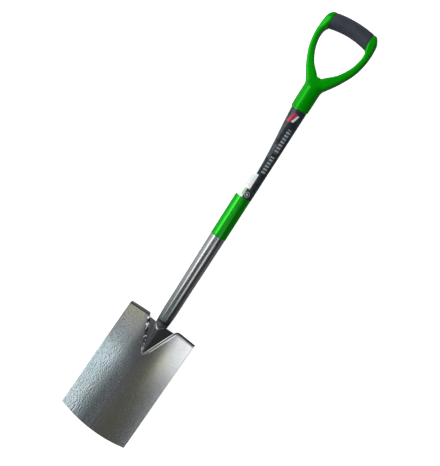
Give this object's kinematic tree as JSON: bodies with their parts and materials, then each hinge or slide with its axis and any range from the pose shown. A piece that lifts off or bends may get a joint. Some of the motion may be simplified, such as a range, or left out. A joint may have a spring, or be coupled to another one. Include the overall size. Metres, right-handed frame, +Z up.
{
  "type": "digging spade",
  "caption": "Digging spade with a dished steel blade, folded foot treads, a tubular shaft in a plastic sleeve and a plastic D-grip, for opening ground and lifting finds.",
  "frame": {"origin": "bottom centre of the bounding box, on the floor under the middle of the spade", "axes": "the spade lies on its back: +Y runs along the shaft from blade to grip, +X across the blade to the right when it is seen from above with the grip up, +Z up, out of the dished working face"},
  "size_m": [0.1728, 1.0378, 0.0626],
  "materials": {
    "blade_steel": "hammered and lacquered silver-grey steel",
    "tube_steel": "smooth silver-grey steel tube, semi-gloss",
    "weld_metal": "lacquered weld bead",
    "green_sleeve": "glossy green plastic sleeve",
    "label_film": "dark printed film with plain bands, no lettering",
    "green_handle": "glossy moulded green plastic",
    "grey_soft_grip": "matt dark slate-grey soft grip",
    "rivet_steel": "plain steel rivet"
  },
  "bodies": {
    "root": {"blade": "blade_steel", "shaft_tube": "tube_steel", "weld_frog_top": "weld_metal", "weld_back_left": "weld_metal", "weld_back_right": "weld_metal", "shaft_sleeve": "green_sleeve", "label_wrap": "label_film", "handle_frame": "green_handle", "grip_cover": "grey_soft_grip", "handle_rivet": "rivet_steel"}
  },
  "joints": []
}
